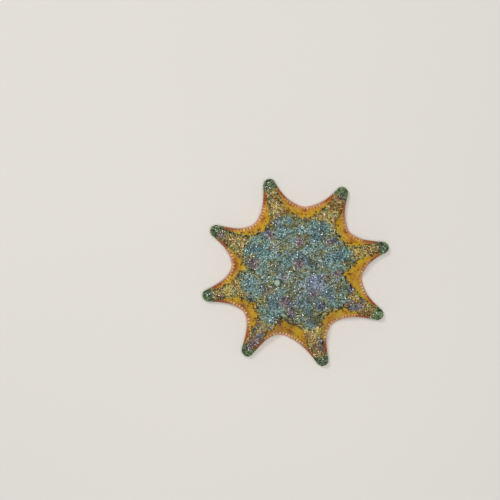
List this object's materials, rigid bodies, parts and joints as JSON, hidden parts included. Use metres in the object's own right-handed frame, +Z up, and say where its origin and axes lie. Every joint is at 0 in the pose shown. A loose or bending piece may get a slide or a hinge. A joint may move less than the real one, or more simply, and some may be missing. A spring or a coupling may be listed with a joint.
{
  "type": "starfish",
  "caption": "Cushion starfish lying flat: domed mottled blue-green disc, short blunt arms with green tips, golden-orange bays between them, grooved underside and a pale sieve plate.",
  "frame": {"origin": "on the floor under the centre of the disc, over the mouth, which is within half a millimetre of the centre of the bounding box", "axes": "+Z up through the back; seen from above, +X to the right and +Y up the page; arm_1 points 16.5 degrees counter-clockwise from +X, and the arms are numbered counter-clockwise"},
  "size_m": [0.0576, 0.0578, 0.0094],
  "materials": {
    "disc_skin": "wet granular skin, mottled blue-green, olive and purple-brown",
    "arm_skin": "wet granular skin, golden orange at the sides with olive-brown grains along the ridge",
    "tip_skin": "wet granular skin, dark green",
    "plate_shell": "pale mint-green chalky plate with fine radiating grooves"
  },
  "bodies": {
    "root": {"disc": "disc_skin", "madreporite": "plate_shell", "arm_1": "arm_skin", "arm_2": "arm_skin", "arm_3": "arm_skin", "arm_4": "arm_skin", "arm_5": "arm_skin", "arm_6": "arm_skin", "arm_7": "arm_skin", "arm_8": "arm_skin", "tip_1": "tip_skin", "tip_2": "tip_skin", "tip_3": "tip_skin", "tip_4": "tip_skin", "tip_5": "tip_skin", "tip_6": "tip_skin", "tip_7": "tip_skin", "tip_8": "tip_skin"}
  },
  "joints": []
}
